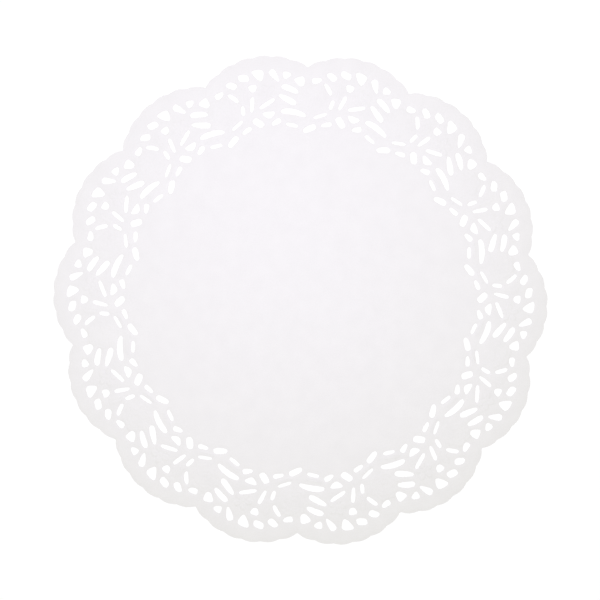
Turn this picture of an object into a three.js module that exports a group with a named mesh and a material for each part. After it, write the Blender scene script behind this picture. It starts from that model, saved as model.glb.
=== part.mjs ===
// A round paper doily that lies flat: one die-cut sheet with a plain middle and a lace border in scallops.
// Millimetres, +Z up. The origin is the middle of the underside, and a notch between two scallops points to +Y.
import * as THREE from "three";

// Driving dimensions.
const SCALLOPS = 14; // round the edge, each over the same lace
const CROWN_RADIUS = 126.4; // from the doily's middle to a scallop's crown, where two of its lobes meet
const NOTCH_RADIUS = 119.2; // from the doily's middle to the notch between two scallops
const LOBES = 6; // small lobes along the edge of a scallop
const LOBE_RISE = 0.7; // how far a lobe stands out
const LOBE_STEPS = 3; // straight steps along a lobe
const SHEET = 1; // thickness

// Worked out from them: the arc that a scallop's edge follows, and where its middle is.
const TURN = (2 * Math.PI) / SCALLOPS;
const NOTCH_ACROSS = NOTCH_RADIUS * Math.sin(TURN / 2);
const NOTCH_OUT = NOTCH_RADIUS * Math.cos(TURN / 2);
const CROWN_HEIGHT = CROWN_RADIUS - NOTCH_OUT;
const ARC_RADIUS = (NOTCH_ACROSS ** 2 + CROWN_HEIGHT ** 2) / (2 * CROWN_HEIGHT);
const ARC_OUT = CROWN_RADIUS - ARC_RADIUS;
const ARC_SWEEP = 2 * Math.atan2(NOTCH_ACROSS, NOTCH_OUT - ARC_OUT);

// The paper is a little uneven: its lace creeps out and round in waves, and its rim does so a little more.
// count: the waves round the doily
// out, round: how far they move the lace outwards and clockwise, and rim: how far they move the rim out as well
// outAt, roundAt, rimAt: where each is greatest, in degrees clockwise from +Y
const WAVES = [
  { count: 1, out: 0.5, outAt: -140, round: 0.4, roundAt: -5, rim: 0, rimAt: 0 },
  { count: 2, out: 0.4, outAt: -70, round: 0.8, roundAt: 110, rim: 0, rimAt: 0 },
  { count: 3, out: 0, outAt: 0, round: 0, roundAt: 0, rim: 0.3, rimAt: 80 },
];
const LACE_RADIUS = 92; // where the rim's own waves begin
const RIM_RADIUS = 124; // where they are at their full size

// The lace under one scallop, whose middle line runs outwards from the doily's middle.
// across, out: the middle of the opening, from the middle line and from the doily's middle
// long, wide: its size, and tilt: how many degrees its long side turns from across towards out
// taper: the share by which it narrows at its far end, and skew: how far its upper side is pushed along
// bow: how far its middle bends to its upper side, round: 2 for an ellipse and more for squarer corners
// sides: the straight sides of its outline
const COLUMNS = ["name", "across", "out", "long", "wide", "tilt", "taper", "skew", "bow", "round", "sides"];
const OPENINGS = [
  // the row under the scalloped border
  ["edge_1", -20.4, 111.1, 5, 2.9, 25, 0.3, 0, -0.2, 2.8, 5],
  ["edge_2", -13.5, 114.5, 5.4, 3.4, -30, -0.1, 0.2, 0.2, 2.8, 5],
  ["edge_3", -6.6, 117.2, 5.5, 3.6, -10, 0, -0.2, 0, 3.2, 5],
  ["edge_4", 1.1, 117.2, 5.9, 4.9, -86, 0.55, 0.3, 0, 2.8, 5],
  ["edge_5", 9.2, 115.5, 7.4, 3, -65, 0.5, 0, 0, 2.6, 5],
  ["edge_6", 15.5, 114.7, 4.2, 3.3, -5, 0.45, 0, 0, 2.8, 5],
  ["edge_7", 21.4, 109.9, 5.1, 4.4, -80, 0.4, 0.1, 0, 3.2, 5],
  // between the rose, the blossom and the bud
  ["gem", -3.1, 111.1, 3.7, 3.9, -92, 0.3, 0, 0, 3, 5],
  ["bud_side", -13.8, 108, 6.7, 2.2, -47, 0, 0, 0.2, 2.8, 6],
  ["stem_1", -10.1, 100.8, 5.2, 2.1, 85, 0, 0, 0, 2.8, 6],
  ["stem_2", -5, 103, 8, 2.1, 76, -0.15, 0, 0, 2.8, 6],
  ["stem_3", 2.7, 102.1, 9, 2.1, 22, 0, 0.2, 0, 3, 6],
  ["ray_1", 15.5, 107.1, 9.2, 3, -34, 0.15, 0, 0.3, 2.6, 6],
  ["ray_2", 13.2, 102.3, 10, 3, -40, -0.2, 0, 0, 2.6, 6],
  ["ray_3", 14.7, 94.6, 13, 3, -22, 0.1, 0, 0.8, 2.8, 6],
  // round the plain middle
  ["fan", 2.4, 96.2, 3.5, 5.3, -95, 0.55, 0, 0, 2.8, 5],
  ["leaf_1", -14.3, 93.9, 7.3, 1.8, 32, 0, 0, 0, 2.8, 6],
  ["leaf_2", -10.2, 90.3, 5.5, 2.3, 25, -0.2, 0, 0, 2.8, 6],
  ["leaf_3", -3.6, 93.2, 6.2, 3.5, -46, 0, 0.1, 0, 3.2, 6],
  ["leaf_4", 5.3, 91.9, 5.2, 2.6, 20, -0.3, 0, 0, 2.8, 5],
  ["leaf_5", 12.9, 88.9, 6.2, 2, -25, 0, 0, 0, 3, 6],
  ["leaf_6", -18, 86.1, 7.1, 3.1, 40, -0.1, 0, 0.1, 2.8, 6],
].map((row) => Object.fromEntries(COLUMNS.map((name, i) => [name, row[i]])));

// A point of a scallop's own plane, turned to where that scallop is and moved as the paper has crept.
function place(across, out, scallop) {
  const angle = (scallop + 0.5) * TURN + Math.atan2(across, out);
  const radius = Math.hypot(across, out);
  const share = THREE.MathUtils.clamp((radius - LACE_RADIUS) / (RIM_RADIUS - LACE_RADIUS), 0, 1);
  const wave = (count, peak) => Math.cos(count * angle - THREE.MathUtils.degToRad(peak));
  let outwards = 0;
  let round = 0;
  for (const w of WAVES) {
    outwards += w.out * wave(w.count, w.outAt) + share * w.rim * wave(w.count, w.rimAt);
    round += w.round * wave(w.count, w.roundAt);
  }
  const x = (radius + outwards) * Math.sin(angle) + round * Math.cos(angle);
  const y = (radius + outwards) * Math.cos(angle) - round * Math.sin(angle);
  return new THREE.Vector2(x, y);
}

// The scalloped edge: arcs from notch to notch, each with its lobes.
function edge() {
  const points = [];
  const steps = LOBES * LOBE_STEPS;
  for (let scallop = 0; scallop < SCALLOPS; scallop++)
    for (let i = 0; i < steps; i++) {
      const along = (i / steps - 0.5) * ARC_SWEEP;
      const radius = ARC_RADIUS + LOBE_RISE * Math.abs(Math.sin((Math.PI * i) / LOBE_STEPS));
      points.push(place(radius * Math.sin(along), ARC_OUT + radius * Math.cos(along), scallop));
    }
  return points;
}

// The outline of an opening. Its corners stand a little out, so that straight sides enclose the curve's area.
function outline(cut, scallop) {
  const step = (2 * Math.PI) / cut.sides;
  const grow = Math.sqrt(step / Math.sin(step)) / 2;
  const tilt = THREE.MathUtils.degToRad(cut.tilt);
  const power = 2 / cut.round;
  const points = [];
  for (let i = 0; i < cut.sides; i++) {
    const [x, y] = [Math.cos(i * step), Math.sin(i * step)].map((v) => Math.sign(v) * Math.abs(v) ** power);
    const along = grow * (cut.long * x + cut.skew * cut.wide * y);
    const aside = grow * cut.wide * y * (1 - cut.taper * x) + cut.bow * (1 - x ** 2);
    points.push(
      place(
        cut.across + along * Math.cos(tilt) - aside * Math.sin(tilt),
        cut.out + along * Math.sin(tilt) + aside * Math.cos(tilt),
        scallop,
      ),
    );
  }
  return points;
}

// The sheet, with its middle at the origin: its edge, with the lace of every scallop cut through it.
function sheet() {
  const shape = new THREE.Shape(edge());
  for (let scallop = 0; scallop < SCALLOPS; scallop++)
    for (const cut of OPENINGS) shape.holes.push(new THREE.Path(outline(cut, scallop)));
  const geometry = new THREE.ExtrudeGeometry(shape, { depth: SHEET, bevelEnabled: false });
  geometry.computeBoundingBox();
  const middle = geometry.boundingBox.getCenter(new THREE.Vector3());
  return geometry.translate(-middle.x, -middle.y, 0);
}

const paper = new THREE.MeshStandardMaterial({ color: 0xf3f2f5, roughness: 0.9, metalness: 0 });
const doily = new THREE.Mesh(sheet(), paper);
doily.name = "doily";

const part = new THREE.Group();
part.add(doily);
export default part;
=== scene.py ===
import math

import bpy
import numpy as np
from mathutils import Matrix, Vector
from mathutils.geometry import delaunay_2d_cdt
from mathutils.kdtree import KDTree

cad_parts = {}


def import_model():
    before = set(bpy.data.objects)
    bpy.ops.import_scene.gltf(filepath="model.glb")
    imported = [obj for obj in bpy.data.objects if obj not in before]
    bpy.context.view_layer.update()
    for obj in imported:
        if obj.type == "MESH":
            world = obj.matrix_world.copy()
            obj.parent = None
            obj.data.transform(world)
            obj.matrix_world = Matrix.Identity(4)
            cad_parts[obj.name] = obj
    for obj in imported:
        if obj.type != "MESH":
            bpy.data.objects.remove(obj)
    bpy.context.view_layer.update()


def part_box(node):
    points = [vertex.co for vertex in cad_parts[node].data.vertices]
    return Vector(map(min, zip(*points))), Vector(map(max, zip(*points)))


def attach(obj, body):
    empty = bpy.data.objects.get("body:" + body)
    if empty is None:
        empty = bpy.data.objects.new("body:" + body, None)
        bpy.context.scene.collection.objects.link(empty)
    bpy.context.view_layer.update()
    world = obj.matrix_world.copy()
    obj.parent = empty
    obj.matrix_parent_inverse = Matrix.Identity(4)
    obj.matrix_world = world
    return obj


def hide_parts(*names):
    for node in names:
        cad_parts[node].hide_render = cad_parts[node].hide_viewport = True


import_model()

NODE_LOW, NODE_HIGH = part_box("doily")

MM = 0.001

# The chart of the doily, in millimetres.
SCALLOPS = 14
CROWN_RADIUS = 126.4
NOTCH_RADIUS = 119.2
LOBES = 6
LOBE_RISE = 0.7
PLAIN_RADIUS = 82.0  # the plain middle, which the lace stays out of
PAPER = 0.12  # thickness of the paper

# The arc that a scallop's edge follows, and where its middle is.
TURN = 2 * math.pi / SCALLOPS
NOTCH_ACROSS = NOTCH_RADIUS * math.sin(TURN / 2)
NOTCH_OUT = NOTCH_RADIUS * math.cos(TURN / 2)
CROWN_HEIGHT = CROWN_RADIUS - NOTCH_OUT
ARC_RADIUS = (NOTCH_ACROSS**2 + CROWN_HEIGHT**2) / (2 * CROWN_HEIGHT)
ARC_OUT = CROWN_RADIUS - ARC_RADIUS
ARC_SWEEP = 2 * math.atan2(NOTCH_ACROSS, NOTCH_OUT - ARC_OUT)

# The paper is a little uneven: its lace creeps out and round in waves, and its rim does so a little more.
# count: the waves round the doily
# out, round: how far they move the lace outwards and clockwise
# rim: how far they move the rim outwards as well
# out_at, round_at, rim_at: where each is greatest, in degrees clockwise from +Y
WAVES = [
    dict(zip(("count", "out", "out_at", "round", "round_at", "rim", "rim_at"), row))
    for row in (
        (1, 0.5, -140, 0.4, -5, 0, 0),
        (2, 0.4, -70, 0.8, 110, 0, 0),
        (3, 0, 0, 0, 0, 0.3, 80),
    )
]
LACE_RADIUS = 92  # where the rim's own waves begin
RIM_RADIUS = 124  # where they are at their full size

# The openings under one scallop, whose middle line runs outwards from the doily's middle.
# across, out: the middle of the opening, from the middle line and from the doily's middle
# long, wide: its size, and tilt: how many degrees its long side turns from across towards out
# taper: the share by which it narrows at its far end, and skew: how far its upper side is pushed along
# bow: how far its middle bends to its upper side, round: 2 for an ellipse and more for squarer corners
COLUMNS = ("name", "across", "out", "long", "wide", "tilt", "taper", "skew", "bow", "round")
OPENINGS = [
    dict(zip(COLUMNS, row))
    for row in (
        ("edge_1", -20.4, 111.1, 5, 2.9, 25, 0.3, 0, -0.2, 2.8),
        ("edge_2", -13.5, 114.5, 5.4, 3.4, -30, -0.1, 0.2, 0.2, 2.8),
        ("edge_3", -6.6, 117.2, 5.5, 3.6, -10, 0, -0.2, 0, 3.2),
        ("edge_4", 1.1, 117.2, 5.9, 4.9, -86, 0.55, 0.3, 0, 2.8),
        ("edge_5", 9.2, 115.5, 7.4, 3, -65, 0.5, 0, 0, 2.6),
        ("edge_6", 15.5, 114.7, 4.2, 3.3, -5, 0.45, 0, 0, 2.8),
        ("edge_7", 21.4, 109.9, 5.1, 4.4, -80, 0.4, 0.1, 0, 3.2),
        ("gem", -3.1, 111.1, 3.7, 3.9, -92, 0.3, 0, 0, 3),
        ("bud_side", -13.8, 108, 6.7, 2.2, -47, 0, 0, 0.2, 2.8),
        ("stem_1", -10.1, 100.8, 5.2, 2.1, 85, 0, 0, 0, 2.8),
        ("stem_2", -5, 103, 8, 2.1, 76, -0.15, 0, 0, 2.8),
        ("stem_3", 2.7, 102.1, 9, 2.1, 22, 0, 0.2, 0, 3),
        ("ray_1", 15.5, 107.1, 9.2, 3, -34, 0.15, 0, 0.3, 2.6),
        ("ray_2", 13.2, 102.3, 10, 3, -40, -0.2, 0, 0, 2.6),
        ("ray_3", 14.7, 94.6, 13, 3, -22, 0.1, 0, 0.8, 2.8),
        ("fan", 2.4, 96.2, 3.5, 5.3, -95, 0.55, 0, 0, 2.8),
        ("leaf_1", -14.3, 93.9, 7.3, 1.8, 32, 0, 0, 0, 2.8),
        ("leaf_2", -10.2, 90.3, 5.5, 2.3, 25, -0.2, 0, 0, 2.8),
        ("leaf_3", -3.6, 93.2, 6.2, 3.5, -46, 0, 0.1, 0, 3.2),
        ("leaf_4", 5.3, 91.9, 5.2, 2.6, 20, -0.3, 0, 0, 2.8),
        ("leaf_5", 12.9, 88.9, 6.2, 2, -25, 0, 0, 0, 3),
        ("leaf_6", -18, 86.1, 7.1, 3.1, 40, -0.1, 0, 0.1, 2.8),
    )
]

# The embossed motifs under one scallop, in the same terms.
MOTIFS = [
    dict(zip(("kind", "across", "out", "long", "wide", "tilt"), row))
    for row in (
        ("rose", -21.2, 102.1, 15.4, 15.4, 0),
        ("blossom", 4.1, 107.2, 10, 10, 0),
        ("leaf", -8.4, 107.6, 9, 4.6, 88),
        ("leaf", 12.9, 91.4, 10, 2.6, -25),
        ("leaf", -14.4, 91.6, 8.5, 2.4, 30),
    )
]

# How the mesh is spaced.
MOTIF_STEP = 0.5  # between points in a motif
LACE_STEP = 1.1  # between points in the rest of the lace
CUT_STEP = 0.75  # between points along a cut
MIDDLE_STEP = 4.0  # the widest spacing, in the plain middle
GRADING = 0.2  # how fast the spacing widens towards the middle
ROW = math.sqrt(3) / 2  # steps between rows of points
CLEAR_OF_CUT = 0.55  # steps between a cut and the nearest free point
LOBE_POINTS = 12  # along the edge of a small lobe
FINE_LOOP = 240  # points of an opening's outline before they are spaced out evenly
FEWEST_POINTS = 14  # of an outline that is spaced out evenly
GAP_STEP = 0.15  # between the points of a cut that distances to it are measured from
SAME_POINT = 1e-5  # how close together two points are taken as one
SHARP_ANGLE = 50  # degrees between faces that meet in a sharp edge


def smooth(low, high, x):
    """0 below low, 1 above high, and a soft step between."""
    t = np.clip((x - low) / (high - low), 0, 1)
    return t * t * (3 - 2 * t)


def place(across, out, scallop):
    """Points of a scallop's own plane, turned to where that scallop is."""
    turn = (scallop + 0.5) * TURN
    return np.stack(
        [
            across * math.cos(turn) + out * math.sin(turn),
            out * math.cos(turn) - across * math.sin(turn),
        ],
        axis=-1,
    )


def creep(points):
    """How far the uneven paper has moved each point."""
    radius, angle = np.hypot(*points.T), np.arctan2(points[:, 0], points[:, 1])
    share = np.clip((radius - LACE_RADIUS) / (RIM_RADIUS - LACE_RADIUS), 0, 1)
    out, round_it = np.zeros(len(points)), np.zeros(len(points))
    for wave in WAVES:
        out_wave, round_wave, rim_wave = (
            np.cos(wave["count"] * angle - math.radians(wave[peak]))
            for peak in ("out_at", "round_at", "rim_at")
        )
        out += wave["out"] * out_wave + share * wave["rim"] * rim_wave
        round_it += wave["round"] * round_wave
    x = out * np.sin(angle) + round_it * np.cos(angle)
    y = out * np.cos(angle) - round_it * np.sin(angle)
    return np.stack([x, y], axis=1)


def evenly(loop, step):
    """The closed loop again, with its points about step apart."""
    closed = np.vstack([loop, loop[:1]])
    along = np.concatenate([[0], np.cumsum(np.linalg.norm(np.diff(closed, axis=0), axis=1))])
    count = max(FEWEST_POINTS, round(along[-1] / step))
    at = np.arange(count) * along[-1] / count
    return np.stack([np.interp(at, along, closed[:, k]) for k in (0, 1)], axis=1)


def rim():
    """The scalloped edge: arcs from notch to notch, each with its lobes, anticlockwise."""
    share = np.arange(LOBES * LOBE_POINTS) / (LOBES * LOBE_POINTS)
    along = (share - 0.5) * ARC_SWEEP
    radius = ARC_RADIUS + LOBE_RISE * np.abs(np.sin(math.pi * share * LOBES))
    across, out = radius * np.sin(along), ARC_OUT + radius * np.cos(along)
    loop = np.vstack([place(across, out, k) for k in range(SCALLOPS)])
    notches = np.arange(SCALLOPS) * LOBES * LOBE_POINTS
    beside = (loop[notches - 1] + loop[notches + 1]) / 2
    loop[notches] = (loop[notches] + beside) / 2  # a punched notch is a little round
    return loop[::-1]


def opening(cut, scallop):
    """The curved outline of an opening, anticlockwise."""
    t = np.arange(FINE_LOOP) * 2 * math.pi / FINE_LOOP
    x, y = (np.sign(v) * np.abs(v) ** (2 / cut["round"]) for v in (np.cos(t), np.sin(t)))
    along = cut["long"] / 2 * x + cut["skew"] * cut["wide"] / 2 * y
    aside = cut["wide"] / 2 * y * (1 - cut["taper"] * x) + cut["bow"] * (1 - x**2)
    tilt = math.radians(cut["tilt"])
    across = cut["across"] + along * math.cos(tilt) - aside * math.sin(tilt)
    out = cut["out"] + along * math.sin(tilt) + aside * math.cos(tilt)
    return evenly(place(across, out, scallop), CUT_STEP)


def rings():
    """Points in rings over the sheet, close together in the lace and further apart towards the middle."""
    found, radius, odd = [], CROWN_RADIUS, 0
    while radius > MIDDLE_STEP / 2:
        step = min(MIDDLE_STEP, LACE_STEP + GRADING * max(0, PLAIN_RADIUS - radius))
        count = round(2 * math.pi * radius / step)
        angle = (np.arange(count) + odd / 2) * 2 * math.pi / count
        x, y = radius * np.sin(angle), radius * np.cos(angle)
        found.append(np.stack([x, y, np.full(count, step)], axis=1))
        radius, odd = radius - step * ROW, 1 - odd
    found = np.vstack(found)
    return found[~np.any([x**2 + y**2 < 1 for _, x, y in over_motifs(found[:, :2])], axis=0)]


def over_motifs(points):
    """Each motif's shape, and the points in the motif's own plane, where it reaches from -1 to 1."""
    radius, angle = np.hypot(*points.T), np.arctan2(points[:, 0], points[:, 1])
    own = angle - (np.floor(angle / TURN) + 0.5) * TURN
    for shift in (-TURN, 0, TURN):
        across, out = radius * np.sin(own + shift), radius * np.cos(own + shift)
        for motif in MOTIFS:
            tilt = math.radians(motif["tilt"])
            dx, dy = across - motif["across"], out - motif["out"]
            x = (dx * math.cos(tilt) + dy * math.sin(tilt)) * 2 / motif["long"]
            y = (dy * math.cos(tilt) - dx * math.sin(tilt)) * 2 / motif["wide"]
            yield SHAPES[motif["kind"]], x, y


def patch(motif, scallop):
    """Points in rows over a motif, close enough together for its relief."""
    rows = math.ceil(motif["wide"] / 2 / (MOTIF_STEP * ROW))
    columns = math.ceil(motif["long"] / 2 / MOTIF_STEP)
    row, column = np.mgrid[-rows : rows + 1, -columns : columns + 1]
    x, y = (column + row % 2 / 2) * MOTIF_STEP, row * MOTIF_STEP * ROW
    inside = (2 * x / motif["long"]) ** 2 + (2 * y / motif["wide"]) ** 2 < 1
    x, y, tilt = x[inside], y[inside], math.radians(motif["tilt"])
    across = motif["across"] + x * math.cos(tilt) - y * math.sin(tilt)
    out = motif["out"] + x * math.sin(tilt) + y * math.cos(tilt)
    return np.column_stack([place(across, out, scallop), np.full(len(x), MOTIF_STEP)])


def nearest(tree, points):
    """How far each point is from the nearest point of the tree."""
    return np.array([tree.find((x, y, 0))[2] for x, y in points])


def tree_of(points):
    """The points, sorted for finding the nearest one."""
    tree = KDTree(len(points))
    for i, (x, y) in enumerate(points):
        tree.insert((x, y, 0), i)
    tree.balance()
    return tree


def flat_mesh():
    """The flat cut sheet as points and triangles, and how far each point is from a cut."""
    loops = [rim()] + [opening(cut, k) for k in range(SCALLOPS) for cut in OPENINGS]
    loops = [loop + creep(loop) for loop in loops]
    edges = np.vstack(loops)
    free = np.vstack([rings()] + [patch(motif, k) for k in range(SCALLOPS) for motif in MOTIFS])
    free[:, :2] += creep(free[:, :2])
    free = free[nearest(tree_of(edges), free[:, :2]) > CLEAR_OF_CUT * free[:, 2]][:, :2]
    starts = np.cumsum([0] + [len(loop) for loop in loops])
    faces = [list(range(a, b)) for a, b in zip(starts[:-1], starts[1:])]
    made = delaunay_2d_cdt([Vector(p) for p in np.vstack([edges, free])], [], faces, 0, SAME_POINT, True)
    points, triangles, inside = np.array(made[0]), made[2], made[5]
    kept = np.array([t for t, of in zip(triangles, inside) if list(of) == [0]])
    used, kept = np.unique(kept, return_inverse=True)
    points, kept = points[used], kept.reshape(-1, 3)
    dense = np.vstack([evenly(loop, GAP_STEP) for loop in loops])
    return points, kept, nearest(tree_of(dense), points)


# The relief, in millimetres. Inside a motif, lengths are shares of its half length and half width.
EDGE_DROP = 0.15  # how far a cut edge is pressed down
EDGE_SOFT = 0.9  # how far from the cut the paper is level again
LEAST_LIFT = 0.05  # of the sheet off the floor
BLOSSOM_RISE = 0.22  # of its petals, and of its eye
BLOSSOM_PETALS = 5
PETAL_OUT = 0.58  # where the middle of a blossom's petal is
PETAL_LONG = 0.42  # half its length
PETAL_WIDE = 0.33  # half its width
LEAF_RISE = 0.24
RIB_WIDE = 0.22  # half the width of a leaf's rib
VEINS = 2.6  # along half a leaf
VEIN_LEAN = 0.9  # how far the veins lean along it

# The rings of a rose's petals: how far out they reach, how many petals there are, the angle of the first
# one in radians, and how high they rise.
ROSE_RINGS = [
    dict(zip(("reach", "petals", "first", "rise"), row))
    for row in (
        (1.0, 6, 0.2, 0.17),
        (0.7, 5, 0.9, 0.16),
        (0.42, 3, 0.3, 0.14),
    )
]
PETAL_EDGE = 0.1  # over how much of the rose's radius a petal's edge drops
CURL_RISE = 0.05  # of the rose's curled heart
CURL_TURNS = 3.2  # how often the curl would wind on its way to the rose's edge


def rose(x, y):
    """A rose seen from above, within a circle of radius 1: rings of cupped petals round a curled heart."""
    away, turn = np.hypot(x, y), np.arctan2(y, x)
    height = np.zeros(len(x))
    for ring in ROSE_RINGS:
        round_petal = np.abs(np.cos(ring["petals"] * (turn - ring["first"]) / 2))
        share = away / (ring["reach"] * (0.82 + 0.18 * round_petal))
        cup = 0.35 + 0.65 * np.clip(share, 0, 1) ** 2
        seam = 1 - 0.6 * np.exp(-((round_petal / 0.22) ** 2)) * smooth(0.4, 0.9, share)
        height += ring["rise"] * cup * seam * (1 - smooth(1 - PETAL_EDGE / ring["reach"], 1, share))
    curl = np.cos(2 * math.pi * CURL_TURNS * away - turn)
    return height + CURL_RISE * curl * (1 - smooth(0.15, 0.3, away))


def blossom(x, y):
    """A small flower within a circle of radius 1: five round creased petals and a raised eye."""
    away, turn = np.hypot(x, y), np.arctan2(y, x)
    own = ((turn / (2 * math.pi) * BLOSSOM_PETALS) % 1 - 0.5) * 2 * math.pi / BLOSSOM_PETALS
    along, aside = away * np.cos(own), away * np.sin(own)
    petal = smooth(0, 0.55, 1 - ((along - PETAL_OUT) / PETAL_LONG) ** 2 - (aside / PETAL_WIDE) ** 2)
    crease = np.exp(-((aside / 0.08) ** 2)) * (1 - smooth(0.6, 0.85, along))
    eye = 1 - smooth(0.14, 0.26, away)
    return BLOSSOM_RISE * petal * (1 - 0.45 * crease) + BLOSSOM_RISE * eye


def leaf(x, y):
    """A pointed leaf from x -1 to 1: two swollen halves, a sunk rib between and veins to its sides."""
    half = np.clip(1 - x**2, 0, 1) ** 0.8
    inside = np.clip(1 - (y / np.maximum(half, 1e-3)) ** 2, 0, 1) * (np.abs(x) < 1)
    rib = np.exp(-((y / RIB_WIDE) ** 2))
    veins = np.cos(2 * math.pi * (VEINS * x - VEIN_LEAN * np.abs(y)))
    return LEAF_RISE * inside * (1 - 0.75 * rib) * (1 + 0.12 * veins)


SHAPES = {"rose": rose, "blossom": blossom, "leaf": leaf}


def relief(points, gap):
    """How high the embossing stands at each point."""
    height = EDGE_DROP * (1 - np.exp(-((gap / EDGE_SOFT) ** 2)))
    for shape, x, y in over_motifs(points - creep(points)):
        height += shape(x, y)
    return height


# How the sheet swells off the floor towards its edge: how many swells there are round it, how high they
# rise, and their phase in radians.
SWELLS = [
    dict(zip(("count", "rise", "phase"), row))
    for row in (
        (3, 0.2, 0.6),
        (5, 0.15, -1.1),
    )
]
MEAN_SWELL = 0.35
SWELL_FROM = 0.3  # where the swells begin, as a share of the crown radius
SWELL_FULL = 1.1  # where they would be at their full height


def lay(points):
    """How high the sheet lies, in millimetres: a little off the floor, and most so at its edge."""
    reach, angle = np.hypot(*points.T) / CROWN_RADIUS, np.arctan2(points[:, 0], points[:, 1])
    swell = MEAN_SWELL
    for wave in SWELLS:
        swell = swell + wave["rise"] * np.cos(wave["count"] * angle - wave["phase"])
    return LEAST_LIFT + np.clip(swell, 0, None) * smooth(SWELL_FROM, SWELL_FULL, reach)


def fitted(points):
    """Points of the chart, in metres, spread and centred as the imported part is."""
    low, high = points.min(axis=0), points.max(axis=0)
    scale = (NODE_HIGH.x - NODE_LOW.x) / (high[0] - low[0])
    middle = (NODE_LOW + NODE_HIGH) / 2
    return (points - (low + high) / 2) * scale + [middle.x, middle.y]


def sheet():
    """The embossed sheet of paper as a closed mesh."""
    points, triangles, gap = flat_mesh()
    under = NODE_LOW.z + (lay(points) + relief(points, gap)) * MM
    points = fitted(points)
    lower = np.column_stack([points, under])
    upper = np.column_stack([points, under + PAPER * MM])
    count = len(points)
    sides = np.vstack([triangles[:, [0, 1]], triangles[:, [1, 2]], triangles[:, [2, 0]]])
    _, which, uses = np.unique(np.sort(sides, axis=1), axis=0, return_inverse=True, return_counts=True)
    cut = sides[uses[which.reshape(-1)] == 1]
    walls = np.column_stack([cut[:, 1], cut[:, 0], cut[:, 0] + count, cut[:, 1] + count])
    faces = (triangles + count).tolist() + triangles[:, ::-1].tolist() + walls[:, ::-1].tolist()
    mesh = bpy.data.meshes.new("paper_sheet")
    mesh.from_pydata(np.vstack([lower, upper]).tolist(), [], faces)
    mesh.validate()
    mesh.polygons.foreach_set("use_smooth", [True] * len(mesh.polygons))
    mesh.set_sharp_from_angle(angle=math.radians(SHARP_ANGLE))
    made = bpy.data.objects.new("paper_sheet", mesh)
    bpy.context.scene.collection.objects.link(made)
    print("sheet:", len(points), "points,", 2 * len(triangles) + 2 * len(cut), "triangles")
    return made


# Materials. The scales of the noise are in grains per metre.
CLOUD_SCALE = 120
FIBRE_SCALE = 2400
FIBRE_SHARE = 0.7  # of the mottle, the rest being clouds
FIBRE_HEIGHT = 0.00004  # in metres
DARK_PAPER = (0.77, 0.75, 0.772)
PALE_PAPER = (0.83, 0.81, 0.832)
SMOOTH_PAPER = 0.86  # roughness between the fibres
ROUGH_PAPER = 0.95  # and on them


def nodes_of(name):
    """A new node material, with its node tree and its Principled shader."""
    material = bpy.data.materials.new(name)
    material.use_nodes = True
    return material, material.node_tree, material.node_tree.nodes["Principled BSDF"]


def noise(tree, where, scale, detail, roughness=0.5):
    """Noise from 0 to 1."""
    node = tree.nodes.new("ShaderNodeTexNoise")
    node.inputs["Scale"].default_value = scale
    node.inputs["Detail"].default_value = detail
    node.inputs["Roughness"].default_value = roughness
    tree.links.new(where, node.inputs["Vector"])
    return node.outputs["Fac"]


def ramp(tree, value, stops):
    """A colour ramp of (position, colour) stops."""
    node = tree.nodes.new("ShaderNodeValToRGB")
    while len(node.color_ramp.elements) < len(stops):
        node.color_ramp.elements.new(0.5)
    for element, (position, colour) in zip(node.color_ramp.elements, stops):
        element.position, element.color = position, (*colour, 1)
    tree.links.new(value, node.inputs["Fac"])
    return node.outputs["Color"]


def paper_material():
    """White uncoated paper: faint clouds, and short fibres that show from close by and roughen it."""
    material, tree, shader = nodes_of("white_paper")
    where = tree.nodes.new("ShaderNodeTexCoord").outputs["Object"]
    clouds = noise(tree, where, CLOUD_SCALE, 3)
    fibres = noise(tree, where, FIBRE_SCALE, 5, 0.65)
    mottle = tree.nodes.new("ShaderNodeMix")
    mottle.inputs["Factor"].default_value = FIBRE_SHARE
    tree.links.new(clouds, mottle.inputs["A"])
    tree.links.new(fibres, mottle.inputs["B"])
    colour = ramp(tree, mottle.outputs["Result"], [(0.3, DARK_PAPER), (0.7, PALE_PAPER)])
    tree.links.new(colour, shader.inputs["Base Color"])
    rough = ramp(tree, fibres, [(0.3, (SMOOTH_PAPER,) * 3), (0.7, (ROUGH_PAPER,) * 3)])
    tree.links.new(rough, shader.inputs["Roughness"])
    bump = tree.nodes.new("ShaderNodeBump")
    bump.inputs["Strength"].default_value = 0.4
    bump.inputs["Distance"].default_value = FIBRE_HEIGHT
    tree.links.new(fibres, bump.inputs["Height"])
    tree.links.new(bump.outputs["Normal"], shader.inputs["Normal"])
    shader.inputs["Specular IOR Level"].default_value = 0.1
    return material


def floor_material():
    """A pale floor, bright enough to stay clean and white round the paper."""
    material, _, shader = nodes_of("pale_floor")
    shader.inputs["Base Color"].default_value = (0.05, 0.05, 0.05, 1)
    shader.inputs["Roughness"].default_value = 1
    shader.inputs["Emission Color"].default_value = (1, 1, 1, 1)
    shader.inputs["Emission Strength"].default_value = 0.96
    return material


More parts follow.
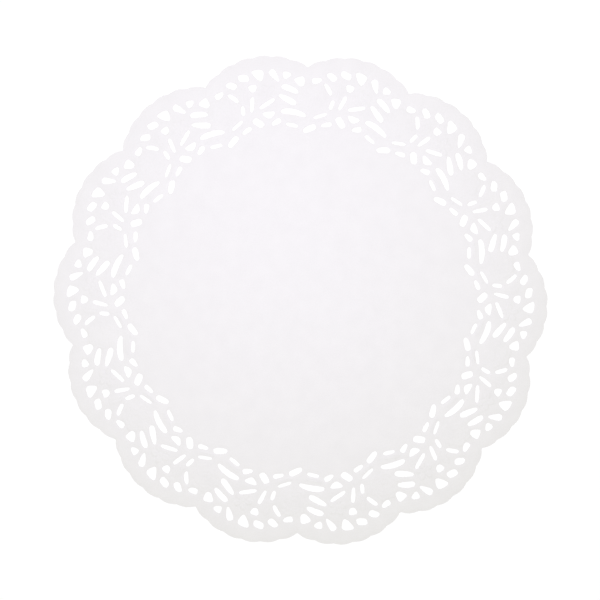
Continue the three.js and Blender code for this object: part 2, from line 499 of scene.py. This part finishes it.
# The scene, in metres and, for the camera's view, millimetres.
FLOOR_SPAN = 40  # how many times as wide as the doily the floor is
LAMP_SIZE = (0.27, 0.34)
LAMP_PLACE = (-0.016, 0.062, 0.40)
LAMP_POWER = 1.218
LAMP_TINT = (0.780, 0.715, 1.0)
ROUND_LIGHT = (0.651, 0.693, 0.512, 1)  # from everywhere
BACKDROP = (0.9, 0.9, 0.9, 1)
VIEW_ACROSS = 308.1  # width of the view at the doily
VIEW_MIDDLE = (-0.3, 0.1)  # the point of the doily that the view is centred on
VIEW_TURN = 1.434  # degrees
LENS, SENSOR = 100, 36


def floor():
    """The plane that the doily lies on."""
    bpy.ops.mesh.primitive_plane_add(size=FLOOR_SPAN * (NODE_HIGH.x - NODE_LOW.x))
    made = bpy.context.object
    made.name = "floor"
    made.data.materials.append(floor_material())


def lamp():
    """One soft lamp over the doily, off its middle, whose light falls away towards the edges."""
    data = bpy.data.lights.new("soft_lamp", "AREA")
    data.shape = "ELLIPSE"
    data.size, data.size_y = LAMP_SIZE
    data.energy = LAMP_POWER
    data.color = LAMP_TINT
    made = bpy.data.objects.new("soft_lamp", data)
    made.location = LAMP_PLACE
    made.visible_camera = False
    bpy.context.scene.collection.objects.link(made)


def world():
    """Even light from all round, a little green against the lamp's pink, before a plain pale backdrop."""
    made = bpy.data.worlds.new("studio")
    made.use_nodes = True
    tree = made.node_tree
    light = tree.nodes["Background"]
    light.inputs["Color"].default_value = ROUND_LIGHT
    backdrop = tree.nodes.new("ShaderNodeBackground")
    backdrop.inputs["Color"].default_value = BACKDROP
    either = tree.nodes.new("ShaderNodeMixShader")
    tree.links.new(tree.nodes.new("ShaderNodeLightPath").outputs["Is Camera Ray"], either.inputs[0])
    tree.links.new(light.outputs[0], either.inputs[1])
    tree.links.new(backdrop.outputs[0], either.inputs[2])
    tree.links.new(either.outputs[0], tree.nodes["World Output"].inputs["Surface"])
    bpy.context.scene.world = made


def camera():
    """Straight above the doily, turned so that its notch is a little clockwise of the top."""
    data = bpy.data.cameras.new("camera")
    data.lens, data.sensor_width = LENS, SENSOR
    made = bpy.data.objects.new("camera", data)
    made.location = (VIEW_MIDDLE[0] * MM, VIEW_MIDDLE[1] * MM, VIEW_ACROSS * MM * LENS / SENSOR)
    made.rotation_euler = (0, 0, math.radians(VIEW_TURN))
    bpy.context.scene.collection.objects.link(made)
    bpy.context.scene.camera = made


camera()
world()
lamp()
floor()
doily = sheet()
doily.data.materials.append(paper_material())
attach(doily, "root")
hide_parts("doily")
bpy.context.scene.view_settings.view_transform = "Standard"
